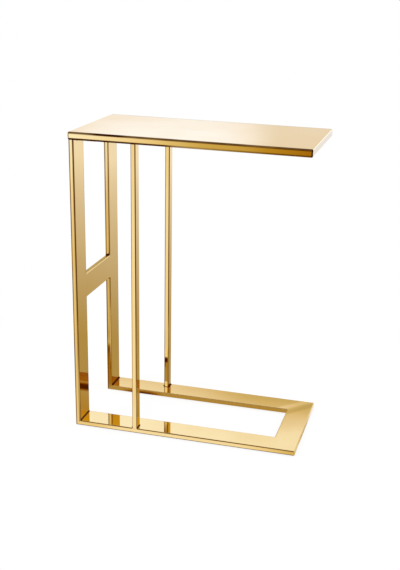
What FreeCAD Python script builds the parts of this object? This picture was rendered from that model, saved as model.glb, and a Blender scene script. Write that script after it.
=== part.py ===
"""C shaped side table: a welded tube frame, a sheet-wrapped top and the fixings between them.

Millimetres. +Z is up, +X runs from the uprights to the open end, and -Y is the front side.
The origin lies on the floor, under the middle of the top.
"""
import FreeCAD
import Part
import Sketcher
import math
import os

SIZES = (
    # Top
    ("overall_height", 610, "floor to the upper face of the top"),
    ("top_length", 465, "top along X"),
    ("top_depth", 232, "top along Y"),
    ("top_thickness", 15, "folded edge of the top"),
    ("top_overhang", 1, "top past the frame at the back end and both sides"),
    ("sheet_thickness", 1.2, "folded sheet, and the panel that closes it"),
    ("fold_radius", 1.4, "inside of the folds"),
    ("return_width", 12, "sheet turned in under the top"),
    ("panel_gap", 0.3, "round the underside panel"),
    # Frame
    ("frame_length", 460, "outer face of the uprights to the open end of the base"),
    ("bar_width", 50, "wide face of the frame tube"),
    ("bar_thickness", 10, "narrow face of the frame tube"),
    ("bar_wall", 1.5, "wall of the frame tube"),
    ("edge_radius", 2, "long edges of the frame tube and the rods"),
    ("corner_radius", 3, "outer corners of the mitres, ground round"),
    ("crossbar_centre", 292, "floor to the middle of the crossbar"),
    ("vent_diameter", 6, "vent hole under each rail"),
    # Rods
    ("rod_offset", 123, "outer face of the uprights to the near face of the rods"),
    ("rod_thickness", 10, "rod along X"),
    ("rod_width", 20, "rod along Y"),
    ("rod_wall", 1.5, "wall of the rods"),
    # Fixings
    ("cap_thickness", 2, "plates in the upper tube ends"),
    ("tab_land", 0.75, "tab left over the countersunk heads"),
    ("tab_width", 20, "tabs across"),
    ("tab_length", 40, "tabs on the uprights"),
    ("rod_tab_length", 24, "tabs on the rods"),
    ("tab_corner", 4, "free corners of the tabs"),
    ("screw_diameter", 5, "shank of the top screws"),
    ("screw_flare", 2.5, "countersunk head past the shank, on each side"),
    ("screw_clearance", 0.25, "shank to hole, on each side"),
    ("screw_tip_gap", 2.2, "screw tip to the inner end of its insert"),
    ("socket_width", 3, "hexagon socket across its flats"),
    ("socket_depth", 2, "hexagon socket"),
    ("insert_wall", 1.4, "threaded inserts"),
    ("insert_cover", 2.6, "board left over the inserts"),
    ("thread_gap", 0.1, "shank to insert, on each side"),
    # Feet
    ("pad_diameter", 20, "floor pads"),
    ("pad_thickness", 2, "floor pads"),
    # Cutting
    ("cut_overrun", 5, "how far cuts run past the surface"),
)

# Places of the screws along their tabs, from the tube outwards
UPRIGHT_TAB_SCREW_SHARES = (0.3, 0.75)
ROD_TAB_SCREW_SHARE = 0.6

# Places that several pieces share, as expressions in the sizes
FRAME_DEPTH = "(sizes.top_depth - 2 * sizes.top_overhang)"
REAR_FACE = "(sizes.top_overhang - sizes.top_length / 2)"
UNDERSIDE = "(sizes.overall_height - sizes.top_thickness)"
RAIL_TOP = "(sizes.pad_thickness + sizes.bar_thickness)"
BAR_LINE = f"({FRAME_DEPTH} / 2 - sizes.bar_width / 2)"
HALF_BAR = "(sizes.bar_width / 2)"
ROD_MIDDLE = f"({REAR_FACE} + sizes.rod_offset + sizes.rod_thickness / 2)"
FOLD_OUTSIDE = "(sizes.fold_radius + sizes.sheet_thickness)"
CORE_THICKNESS = "(sizes.top_thickness - 2 * sizes.sheet_thickness)"
SCREW_HOLE = "(sizes.screw_diameter + 2 * sizes.screw_clearance)"
COUNTERSINK = "(sizes.screw_flare - sizes.screw_clearance)"
TAB_THICKNESS = f"({COUNTERSINK} + sizes.tab_land)"
TAB_LEVEL = f"({UNDERSIDE} - {TAB_THICKNESS})"
INSERT_DIAMETER = "(sizes.screw_diameter + 2 * (sizes.thread_gap + sizes.insert_wall))"
INSERT_LENGTH = f"({CORE_THICKNESS} - sizes.insert_cover)"
SCREW_LENGTH = f"({TAB_THICKNESS} + sizes.sheet_thickness + {INSERT_LENGTH} - sizes.screw_tip_gap)"

# The sign of Y that points from each side of the table to its middle
SIDES = (("front", 1), ("back", -1))

UP = FreeCAD.Vector(0, 0, 1)
# How a sketch numbers the ends and the centre of an edge
START, END, CENTRE = range(1, 4)
# How near to an axis, or to a level, an edge counts as lying on it
NEARLY_PARALLEL_SHARE = 0.999
NEARLY_LEVEL_SHARE = 0.01

doc = FreeCAD.newDocument("c_side_table")
sheet = doc.addObject("Spreadsheet::Sheet", "sizes")


def fill_sheet():
    """Writes the driving dimensions, one row each: name, value, meaning."""
    for row, (alias, value, meaning) in enumerate(SIZES, start=1):
        sheet.set(f"A{row}", alias)
        sheet.set(f"B{row}", str(value))
        sheet.set(f"C{row}", meaning)
        sheet.setAlias(f"B{row}", alias)
    doc.recompute()


def number(expression):
    """The present value of an expression."""
    return float(doc.sizes.evalExpression(expression))


def place(piece, x, y, z):
    """Binds a piece's position to three expressions."""
    for axis, expression in zip("xyz", (x, y, z)):
        piece.setExpression(f"Placement.Base.{axis}", expression)


def new_body(label, x, y, z):
    """An empty body whose name is its node's name."""
    body = doc.addObject("PartDesign::Body", label)
    body.Label = label
    place(body, x, y, z)
    return body


def new_sketch(body, plane, height="0"):
    """A sketch on one of the body's own planes, or parallel to it at a height along its normal."""
    sketch = body.newObject("Sketcher::SketchObject", f"{body.Name}_sketch")
    support = next(feature for feature in body.Origin.OriginFeatures if feature.Role == plane)
    sketch.AttachmentSupport = [(support, "")]
    sketch.MapMode = "FlatFace"
    sketch.setExpression("AttachmentOffset.Base.z", height)
    return sketch


def bind(sketch, kind, spot, expression):
    """Adds a constraint whose value follows an expression."""
    index = sketch.addConstraint(Sketcher.Constraint(kind, *spot, number(expression)))
    sketch.setExpression(f"Constraints[{index}]", expression)


def pin_point(sketch, edge, end, x, y):
    """Holds one end of an edge, or a circle's centre, at two expressions from the sketch's origin.

    The origin is the start of the sketch's own X axis, which it numbers as edge -1.
    """
    bind(sketch, "DistanceX", (-1, START, edge, end), x)
    bind(sketch, "DistanceY", (-1, START, edge, end), y)


def add_edge(sketch, start, end, bend):
    """Adds a line, or an arc about a centre, and returns its index and which of its ends come first."""
    if bend is None:
        return sketch.addGeometry(Part.LineSegment(start, end), False), START, END
    centre = FreeCAD.Vector(number(bend[0]), number(bend[1]), 0)
    from_centre = (start - centre, end - centre)
    turns_left = from_centre[0].cross(from_centre[1]).z > 0
    angles = [math.atan2(arm.y, arm.x) for arm in from_centre]
    if not turns_left:
        angles.reverse()
    circle = Part.Circle(centre, UP, from_centre[0].Length)
    index = sketch.addGeometry(Part.ArcOfCircle(circle, *angles), False)
    return (index, START, END) if turns_left else (index, END, START)


def draw_outline(sketch, corners):
    """Draws a closed outline. A corner is (x, y), or (x, y, radius, centre) where an arc follows it."""
    spots = [FreeCAD.Vector(number(x), number(y), 0) for x, y, *_ in corners]
    edges = []
    for (_, _, *arc), start, end in zip(corners, spots, spots[1:] + spots[:1]):
        edges.append(add_edge(sketch, start, end, arc[1] if arc else None))
    for (x, y, *arc), edge, following in zip(corners, edges, edges[1:] + edges[:1]):
        index, first, last = edge
        sketch.addConstraint(Sketcher.Constraint("Coincident", index, last, *following[:2]))
        pin_point(sketch, index, first, x, y)
        if arc:
            bind(sketch, "Radius", (index,), arc[0])


def draw_rectangle(sketch, x0, y0, x1, y1):
    """Draws a rectangle between two opposite corners."""
    draw_outline(sketch, [(x0, y0), (x1, y0), (x1, y1), (x0, y1)])


def draw_circles(sketch, centres, diameter):
    """Draws one circle about each centre."""
    for x, y in centres:
        middle = FreeCAD.Vector(number(x), number(y), 0)
        index = sketch.addGeometry(Part.Circle(middle, UP, number(diameter) / 2), False)
        pin_point(sketch, index, CENTRE, x, y)
        bind(sketch, "Diameter", (index,), diameter)


def pad(body, sketch, length, both_ways=False):
    """Raises a sketch along its plane's normal, or half to each side of it."""
    feature = body.newObject("PartDesign::Pad", f"{body.Name}_pad")
    feature.Profile = sketch
    feature.setExpression("Length", length)
    feature.SideType = "Symmetric" if both_ways else "One side"
    doc.recompute()


def cut(body, sketch, length=None):
    """Cuts a sketch along its plane's normal, or right through both ways where no length is given."""
    volume = body.Tip.Shape.Volume
    feature = body.newObject("PartDesign::Pocket", f"{body.Name}_cut")
    feature.Profile = sketch
    if length is None:
        feature.Type = "ThroughAll"
        feature.SideType = "Symmetric"
    else:
        feature.setExpression("Length", length)
        feature.Reversed = True
    doc.recompute()
    if feature.Shape.Volume >= volume:
        raise RuntimeError(f"{feature.Name} cuts nothing")


def dress_edges(body, kind, size_name, size, chosen):
    """Rounds (PartDesign::Fillet) or bevels (PartDesign::Chamfer) the chosen edges."""
    base = body.Tip
    names = [f"Edge{index}" for index, edge in enumerate(base.Shape.Edges, start=1) if chosen(edge)]
    feature = body.newObject(kind, f"{body.Name}_edges")
    feature.Base = (base, names)
    feature.setExpression(size_name, size)
    doc.recompute()


def runs_along(axis):
    """A test for straight edges along an axis."""
    def test(edge):
        straight = isinstance(edge.Curve, Part.Line)
        return straight and abs(edge.Curve.Direction.dot(axis)) > NEARLY_PARALLEL_SHARE
    return test


def round_long_edges(body, axis):
    """Rounds all the edges along a tube."""
    dress_edges(body, "PartDesign::Fillet", "Radius", "sizes.edge_radius", runs_along(axis))


def round_stretch(body, plane, corners, start, length):
    """Rounds some edges of a tube over a stretch only. A corner is (x, y) and the signs towards the tube."""
    radius = "sizes.edge_radius"
    past = "sizes.cut_overrun"
    sketch = new_sketch(body, plane, start)
    for x, y, sign_x, sign_y in corners:
        inner_x = f"{x} + {sign_x} * {radius}"
        inner_y = f"{y} + {sign_y} * {radius}"
        outer_x = f"{x} - {sign_x} * {past}"
        outer_y = f"{y} - {sign_y} * {past}"
        draw_outline(sketch, [
            (inner_x, y, radius, (inner_x, inner_y)),
            (x, inner_y),
            (outer_x, inner_y),
            (outer_x, outer_y),
            (inner_x, outer_y),
        ])
    cut(body, sketch, length)


def mitre(body, plane, corner, along, across, thickness):
    """Cuts a bar's end at 45 degrees through the outer corner of its joint, and rounds that corner.

    along and across are the plane directions of the bar's run and of its thickness, from the corner.
    """
    radius = "sizes.corner_radius"
    near = f"{radius} * (1 - sqrt(1 / 2))"
    far = f"{thickness} + sizes.cut_overrun"
    past = "-sizes.cut_overrun"

    def spot(u, v):
        return tuple(f"{corner[i]} + {along[i]} * ({u}) + {across[i]} * ({v})" for i in (0, 1))

    sketch = new_sketch(body, plane)
    draw_outline(sketch, [
        (*spot(radius, "0"), radius, spot(radius, radius)),
        spot(near, near),
        spot(far, far),
        spot(past, far),
        spot(past, past),
        spot(radius, past),
    ])
    cut(body, sketch)


def bore(body, plane, x0, y0, x1, y1, wall):
    """Hollows a bar whose section runs from x0, y0 to x1, y1."""
    sketch = new_sketch(body, plane)
    draw_rectangle(sketch, f"{x0} + {wall}", f"{y0} + {wall}", f"{x1} - {wall}", f"{y1} - {wall}")
    cut(body, sketch)


def vent(body, x):
    """Drills the vent hole into a rail from below."""
    sketch = new_sketch(body, "XY_Plane")
    draw_circles(sketch, [(x, "0")], "sizes.vent_diameter")
    cut(body, sketch, "sizes.bar_thickness / 2")


def make_upright(side, inward):
    """Upright tube, mitred into its rail at the foot. Its edges stay square where the crossbar meets it."""
    body = new_body(f"{side}_upright", REAR_FACE, f"{-inward} * {BAR_LINE}", "sizes.pad_thickness")
    length = f"{UNDERSIDE} - sizes.pad_thickness"
    section = ("0", f"-{HALF_BAR}", "sizes.bar_thickness", HALF_BAR)
    sketch = new_sketch(body, "XY_Plane")
    draw_rectangle(sketch, *section)
    pad(body, sketch, length)

    outer = f"{-inward} * {HALF_BAR}"
    inner = f"{inward} * {HALF_BAR}"
    outer_edges = [("0", outer, 1, inward), ("sizes.bar_thickness", outer, -1, inward)]
    inner_edges = [("0", inner, 1, -inward), ("sizes.bar_thickness", inner, -1, -inward)]
    below = f"sizes.crossbar_centre - {HALF_BAR} - sizes.pad_thickness"
    above = f"sizes.crossbar_centre + {HALF_BAR} - sizes.pad_thickness"
    round_stretch(body, "XY_Plane", outer_edges, "0", length)
    round_stretch(body, "XY_Plane", inner_edges, "0", below)
    round_stretch(body, "XY_Plane", inner_edges, above, f"{length} - ({above})")

    bore(body, "XY_Plane", *section, "sizes.bar_wall")
    mitre(body, "XZ_Plane", ("0", "0"), (0, 1), (1, 0), "sizes.bar_thickness")
    return body


def make_rail(side, inward):
    """Base tube along X, mitred into its upright and the end rail. Its edge stays square under the rod."""
    body = new_body(f"{side}_rail", REAR_FACE, f"{-inward} * {BAR_LINE}", "sizes.pad_thickness")
    section = (f"-{HALF_BAR}", "0", HALF_BAR, "sizes.bar_thickness")
    sketch = new_sketch(body, "YZ_Plane")
    draw_rectangle(sketch, *section)
    pad(body, sketch, "sizes.frame_length")

    outer = f"{-inward} * {HALF_BAR}"
    inner = f"{inward} * {HALF_BAR}"
    plain_edges = [
        (outer, "0", inward, 1),
        (inner, "0", -inward, 1),
        (inner, "sizes.bar_thickness", -inward, -1),
    ]
    rod_edge = [(outer, "sizes.bar_thickness", inward, -1)]
    past_rod = "sizes.rod_offset + sizes.rod_thickness"
    round_stretch(body, "YZ_Plane", plain_edges, "0", "sizes.frame_length")
    round_stretch(body, "YZ_Plane", rod_edge, "0", "sizes.rod_offset")
    round_stretch(body, "YZ_Plane", rod_edge, past_rod, f"sizes.frame_length - ({past_rod})")

    bore(body, "YZ_Plane", *section, "sizes.bar_wall")
    mitre(body, "XZ_Plane", ("0", "0"), (1, 0), (0, 1), "sizes.bar_thickness")
    mitre(body, "XY_Plane", ("sizes.frame_length", outer), (-1, 0), (0, inward), "sizes.bar_width")
    vent(body, "sizes.frame_length / 2")
    return body


def make_end_rail():
    """Base tube across the open end, mitred into both rails."""
    body = new_body("end_rail", f"{REAR_FACE} + sizes.frame_length - {HALF_BAR}", "0", "sizes.pad_thickness")
    section = (f"-{HALF_BAR}", "0", HALF_BAR, "sizes.bar_thickness")
    sketch = new_sketch(body, "XZ_Plane")
    draw_rectangle(sketch, *section)
    pad(body, sketch, FRAME_DEPTH, both_ways=True)
    round_long_edges(body, FreeCAD.Vector(0, 1, 0))
    bore(body, "XZ_Plane", *section, "sizes.bar_wall")
    for _, inward in SIDES:
        corner = (HALF_BAR, f"{-inward} * {FRAME_DEPTH} / 2")
        mitre(body, "XY_Plane", corner, (0, inward), (-1, 0), "sizes.bar_width")
    vent(body, "0")
    return body


def make_crossbar():
    """Tube between the uprights, flush with their wide faces."""
    body = new_body("crossbar", REAR_FACE, "0", f"sizes.crossbar_centre - {HALF_BAR}")
    section = ("0", "0", "sizes.bar_thickness", "sizes.bar_width")
    sketch = new_sketch(body, "XZ_Plane")
    draw_rectangle(sketch, *section)
    pad(body, sketch, f"{FRAME_DEPTH} - 2 * sizes.bar_width", both_ways=True)
    round_long_edges(body, FreeCAD.Vector(0, 1, 0))
    bore(body, "XZ_Plane", *section, "sizes.bar_wall")
    return body


def make_rod(side, inward):
    """Slim tube from the outer edge of a rail to the top."""
    line = f"({FRAME_DEPTH} / 2 - sizes.rod_width / 2)"
    body = new_body(f"{side}_rod", ROD_MIDDLE, f"{-inward} * {line}", RAIL_TOP)
    half_x = "(sizes.rod_thickness / 2)"
    half_y = "(sizes.rod_width / 2)"
    section = (f"-{half_x}", f"-{half_y}", half_x, half_y)
    sketch = new_sketch(body, "XY_Plane")
    draw_rectangle(sketch, *section)
    pad(body, sketch, f"{UNDERSIDE} - {RAIL_TOP}")
    round_long_edges(body, UP)
    bore(body, "XY_Plane", *section, "sizes.rod_wall")
    return body


def finish_tab(body, section, root, screws):
    """Pads a tab, rounds the corners away from its root, and sinks its screw holes from below.

    root tells whether an edge lies on the tube that carries the tab.
    """
    sketch = new_sketch(body, "XY_Plane")
    draw_rectangle(sketch, *section)
    pad(body, sketch, TAB_THICKNESS)
    upright_edge = runs_along(UP)
    dress_edges(body, "PartDesign::Fillet", "Radius", "sizes.tab_corner",
                lambda edge: upright_edge(edge) and not root(edge.CenterOfMass))
    holes = new_sketch(body, "XY_Plane")
    draw_circles(holes, screws, SCREW_HOLE)
    cut(body, holes)

    def lower_rim(edge):
        full_circle = isinstance(edge.Curve, Part.Circle) and edge.isClosed()
        return full_circle and abs(edge.CenterOfMass.z) < edge.Length * NEARLY_LEVEL_SHARE

    dress_edges(body, "PartDesign::Chamfer", "Size", COUNTERSINK, lower_rim)
    return body


def make_upright_tab(side, inward):
    """Tab on the inner face of an upright, with two screws."""
    x = f"{REAR_FACE} + sizes.bar_thickness"
    y = f"{-inward} * {BAR_LINE}"
    body = new_body(f"{side}_upright_tab", x, y, TAB_LEVEL)
    section = ("0", "-sizes.tab_width / 2", "sizes.tab_length", "sizes.tab_width / 2")
    screws = [(f"sizes.tab_length * {share}", "0") for share in UPRIGHT_TAB_SCREW_SHARES]
    reach = number("sizes.tab_length / 2")
    return finish_tab(body, section, lambda spot: spot.x < reach, screws)


def make_rod_tab(side, inward):
    """Tab on the inner face of a rod, with one screw."""
    y = f"{-inward} * ({FRAME_DEPTH} / 2 - sizes.rod_width)"
    body = new_body(f"{side}_rod_tab", ROD_MIDDLE, y, TAB_LEVEL)
    section = ("-sizes.tab_width / 2", "0", "sizes.tab_width / 2", f"{inward} * sizes.rod_tab_length")
    screws = [("0", f"{inward} * sizes.rod_tab_length * {ROD_TAB_SCREW_SHARE}")]
    reach = number("sizes.rod_tab_length / 2")
    return finish_tab(body, section, lambda spot: abs(spot.y) < reach, screws)


def screw_places():
    """X and Y of every top screw."""
    places = []
    for _, inward in SIDES:
        for share in UPRIGHT_TAB_SCREW_SHARES:
            x = f"{REAR_FACE} + sizes.bar_thickness + sizes.tab_length * {share}"
            places.append((x, f"{-inward} * {BAR_LINE}"))
        reach = f"(sizes.rod_width + sizes.rod_tab_length * {ROD_TAB_SCREW_SHARE})"
        places.append((ROD_MIDDLE, f"{-inward} * ({FRAME_DEPTH} / 2 - {reach})"))
    return places


def make_cap(label, middle_x, middle_y, width_x, width_y):
    """Plate that closes the upper end of a tube, flush with it. The widths are those of its bore."""
    cap = doc.addObject("Part::Box", label)
    cap.setExpression("Length", width_x)
    cap.setExpression("Width", width_y)
    cap.setExpression("Height", "sizes.cap_thickness")
    x = f"{middle_x} - {width_x} / 2"
    y = f"{middle_y} - {width_y} / 2"
    place(cap, x, y, f"{UNDERSIDE} - sizes.cap_thickness")
    return cap


def make_upright_cap(side, inward):
    """Cap in an upright."""
    width_x = "(sizes.bar_thickness - 2 * sizes.bar_wall)"
    width_y = "(sizes.bar_width - 2 * sizes.bar_wall)"
    middle_x = f"{REAR_FACE} + sizes.bar_thickness / 2"
    return make_cap(f"{side}_upright_cap", middle_x, f"{-inward} * {BAR_LINE}", width_x, width_y)


def make_rod_cap(side, inward):
    """Cap in a rod."""
    width_x = "(sizes.rod_thickness - 2 * sizes.rod_wall)"
    width_y = "(sizes.rod_width - 2 * sizes.rod_wall)"
    middle_y = f"{-inward} * ({FRAME_DEPTH} / 2 - sizes.rod_width / 2)"
    return make_cap(f"{side}_rod_cap", ROD_MIDDLE, middle_y, width_x, width_y)


def make_pads(side, inward):
    """Round floor pads under both ends of a rail."""
    ends = (("left", HALF_BAR), ("right", f"sizes.frame_length - {HALF_BAR}"))
    pads = []
    for end, along in ends:
        foot = doc.addObject("Part::Cylinder", f"{side}_{end}_pad")
        foot.setExpression("Radius", "sizes.pad_diameter / 2")
        foot.setExpression("Height", "sizes.pad_thickness")
        place(foot, f"{REAR_FACE} + {along}", f"{-inward} * {BAR_LINE}", "0")
        pads.append(foot)
    return pads


def top_section(inset):
    """The top's outline, drawn in from its edges."""
    half_x = f"(sizes.top_length / 2 - {inset})"
    half_y = f"(sizes.top_depth / 2 - {inset})"
    return f"-{half_x}", f"-{half_y}", half_x, half_y


def make_top_pan():
    """Sheet folded round the board: top, four skirts and the returns under them."""
    body = new_body("top_pan", "0", "0", UNDERSIDE)
    outline = new_sketch(body, "XY_Plane")
    draw_rectangle(outline, *top_section("0"))
    pad(body, outline, "sizes.top_thickness")
    dress_edges(body, "PartDesign::Fillet", "Radius", FOLD_OUTSIDE, lambda edge: True)
    room = new_sketch(body, "XY_Plane", "sizes.sheet_thickness")
    draw_rectangle(room, *top_section("sizes.sheet_thickness"))
    cut(body, room, CORE_THICKNESS)
    inner_shell = body.Tip.Shape.Shells[-1]
    dress_edges(body, "PartDesign::Fillet", "Radius", "sizes.fold_radius",
                lambda edge: any(edge.isSame(inner) for inner in inner_shell.Edges))
    mouth = new_sketch(body, "XY_Plane")
    draw_rectangle(mouth, *top_section("sizes.return_width"))
    cut(body, mouth, "2 * sizes.sheet_thickness")
    return body


def make_top_core():
    """Board that fills the folded sheet, drilled from below for the inserts."""
    body = new_body("top_core", "0", "0", f"{UNDERSIDE} + sizes.sheet_thickness")
    outline = new_sketch(body, "XY_Plane")
    draw_rectangle(outline, *top_section("sizes.sheet_thickness"))
    pad(body, outline, CORE_THICKNESS)
    dress_edges(body, "PartDesign::Fillet", "Radius", "sizes.fold_radius", lambda edge: True)
    holes = new_sketch(body, "XY_Plane")
    draw_circles(holes, screw_places(), INSERT_DIAMETER)
    cut(body, holes, INSERT_LENGTH)
    return body


def make_underside_panel():
    """Sheet that closes the underside between the returns, drilled for the screws."""
    body = new_body("underside_panel", "0", "0", UNDERSIDE)
    outline = new_sketch(body, "XY_Plane")
    draw_rectangle(outline, *top_section("(sizes.return_width + sizes.panel_gap)"))
    pad(body, outline, "sizes.sheet_thickness")
    holes = new_sketch(body, "XY_Plane")
    draw_circles(holes, screw_places(), SCREW_HOLE)
    cut(body, holes)
    return body


def revolve(body, corners):
    """Turns an outline, given as radius and height, about the body's upright axis."""
    sketch = new_sketch(body, "XZ_Plane")
    draw_outline(sketch, corners)
    feature = body.newObject("PartDesign::Revolution", f"{body.Name}_turn")
    feature.Profile = sketch
    feature.ReferenceAxis = (sketch, ["V_Axis"])
    doc.recompute()


def make_screw():
    """One countersunk screw, head down, with a hexagon socket."""
    body = new_body("one_top_screw", "0", "0", "0")
    shank = "sizes.screw_diameter / 2"
    revolve(body, [
        ("0", "0"),
        (f"{shank} + sizes.screw_flare", "0"),
        (shank, "sizes.screw_flare"),
        (shank, SCREW_LENGTH),
        ("0", SCREW_LENGTH),
    ])
    socket = new_sketch(body, "XY_Plane")
    reach = "sizes.socket_width / sqrt(3)"
    angles = range(0, 360, 60)
    draw_outline(socket, [(f"{reach} * cos({angle})", f"{reach} * sin({angle})") for angle in angles])
    cut(body, socket, "sizes.socket_depth")
    return body


def make_insert():
    """One threaded insert, mouth down."""
    body = new_body("one_threaded_insert", "0", "0", "0")
    inner = "sizes.screw_diameter / 2 + sizes.thread_gap"
    outer = f"{INSERT_DIAMETER} / 2"
    revolve(body, [(inner, "0"), (outer, "0"), (outer, INSERT_LENGTH), (inner, INSERT_LENGTH)])
    return body


def make_group(label, original, height):
    """A group of separate copies of one fixing, one at each screw's place."""
    copies = []
    for x, y in screw_places():
        copy = doc.addObject("App::Link", f"{original.Name}_copy")
        copy.LinkedObject = original
        place(copy, x, y, height)
        copies.append(copy)
    group = doc.addObject("Part::Compound", label)
    group.Links = copies
    return group


def make_table():
    """Makes every sub-part and returns them."""
    pieces = [make_top_pan(), make_top_core(), make_underside_panel()]
    pieces.append(make_crossbar())
    pieces.append(make_end_rail())
    for side, inward in SIDES:
        pieces.append(make_upright(side, inward))
        pieces.append(make_rail(side, inward))
        pieces.append(make_rod(side, inward))
        pieces.append(make_upright_tab(side, inward))
        pieces.append(make_rod_tab(side, inward))
        pieces.append(make_upright_cap(side, inward))
        pieces.append(make_rod_cap(side, inward))
        pieces.extend(make_pads(side, inward))
    pieces.append(make_group("top_screws", make_screw(), TAB_LEVEL))
    pieces.append(make_group("threaded_inserts", make_insert(), f"{UNDERSIDE} + sizes.sheet_thickness"))
    doc.recompute()
    return pieces


def check(pieces):
    """Stops if anything in the document failed or a sub-part's shape is unsound."""
    for item in doc.Objects:
        if "Invalid" in item.State or "Error" in item.State:
            raise RuntimeError(f"{item.Name} failed: {item.State}")
    for piece in pieces:
        if piece.Shape.isNull() or not piece.Shape.isValid() or not piece.Shape.Solids:
            raise RuntimeError(f"{piece.Label} has no sound shape")


def write(pieces):
    """Writes one STEP file for each sub-part."""
    os.makedirs("parts", exist_ok=True)
    for piece in pieces:
        piece.Shape.exportStep(f"parts/{piece.Label}.step")


fill_sheet()
table = make_table()
check(table)
write(table)
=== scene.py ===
"""Finishes, floor pads, welds, white studio and camera for a polished gold C shaped side table."""

import math
from functools import partial

import bmesh
import bpy
from mathutils import Matrix, Vector


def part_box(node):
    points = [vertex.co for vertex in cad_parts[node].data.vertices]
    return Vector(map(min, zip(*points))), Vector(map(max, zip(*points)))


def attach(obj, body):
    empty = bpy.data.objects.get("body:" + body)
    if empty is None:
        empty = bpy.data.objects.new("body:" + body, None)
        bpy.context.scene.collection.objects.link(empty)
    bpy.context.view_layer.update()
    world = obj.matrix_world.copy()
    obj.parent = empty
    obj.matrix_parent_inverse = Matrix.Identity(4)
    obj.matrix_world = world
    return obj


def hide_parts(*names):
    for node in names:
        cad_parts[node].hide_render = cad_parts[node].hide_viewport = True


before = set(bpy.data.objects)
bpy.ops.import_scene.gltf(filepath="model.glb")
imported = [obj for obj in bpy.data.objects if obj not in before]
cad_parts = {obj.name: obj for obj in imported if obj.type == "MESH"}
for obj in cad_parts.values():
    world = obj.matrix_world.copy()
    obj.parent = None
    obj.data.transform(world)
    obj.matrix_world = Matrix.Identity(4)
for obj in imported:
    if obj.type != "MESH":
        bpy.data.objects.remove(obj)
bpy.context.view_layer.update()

bl_info = {
    "name": "Gold C Table",
    "version": (1, 0, 0),
    "blender": (4, 5, 0),
    "location": "3D View > Sidebar > Gold C Table",
    "description": "Dresses a packed C shaped side table in polished gold and sets up its studio",
    "category": "Object",
}

BODY = "root"
X_AXIS, Y_AXIS, Z_AXIS = range(3)
RIGHT = (1.0, 0.0, 0.0)
UP = (0.0, 0.0, 1.0)
DOWN = (0.0, 0.0, -1.0)
WHITE = (1.0, 1.0, 1.0, 1.0)

RODS = ("front_rod", "back_rod")
TABS = ("front_upright_tab", "back_upright_tab", "front_rod_tab", "back_rod_tab")
CAPS = ("front_upright_cap", "back_upright_cap", "front_rod_cap", "back_rod_cap")
PADS = ("front_left_pad", "front_right_pad", "back_left_pad", "back_right_pad")

# Painted reflection on edges, a dark colour in place of the dark room that rounded edges mirror:
# samples that find a rounded edge, largest part of the softened normal at which it starts and is full
# there, the same for the part along the bar, and the blur on edges found from a box.
EDGE_SAMPLES = 6
EDGE_LEAN = (0.995, 0.9)
EDGE_END_ON = (0.15, 0.05)
EDGE_BLUR = 0.0006
# Share of the painted edge reflection on the edges at the right of each upright.
NEAR_RIGHT_SHARE = 0.8
FAR_RIGHT_SHARE = 0.3
# Shares of the painted reflection on the top's folds: most of the upper one and a darker stretch of it,
# then the lower one to the left and to the right of where it changes. Streaks take up to a quarter off,
# and a share well over one hides them.
UPPER_FOLD_SHARES = (0.83, 1.3)
UPPER_FOLD_STRETCH = (-0.185, -0.12)
LOWER_FOLD_SHARES = (1.5, 0.62)
LOWER_FOLD_CHANGE = (-0.07, 0.0)
FOLD_CHANGE_BLUR = 0.02
MITRE_HOLLOW_WIDTH = 0.03

# Weld beads: how far they run into the metal, block that the wedge is cut from and depth of the ripples as
# shares of the leg, then the pitch of the ripples and the fewest on a bead.
WELD_ROOT = 0.001
WELD_BLOCK = 1.15
WELD_HOLLOW = 0.84
WELD_RIPPLE = 0.0016
WELD_FEWEST_RIPPLES = 4
# Pads: sides of the disc, bevel of its rim as a share of the thickness, steps of the bevel, and the sole from
# its rim inwards, with each step in as a share of the radius and each lift as a share of the thickness.
PAD_SIDES = 64
PAD_BEVEL = 0.18
PAD_BEVEL_STEPS = 3
PAD_SOLE = ((0.2, 0.25), (0.16, -0.25), (0.2, 0.3))
# Faces that meet at less than this are shaded as one, and directions that agree by this are parallel.
SMOOTH_ANGLE = math.radians(35.0)
PARALLEL = 0.99


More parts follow.
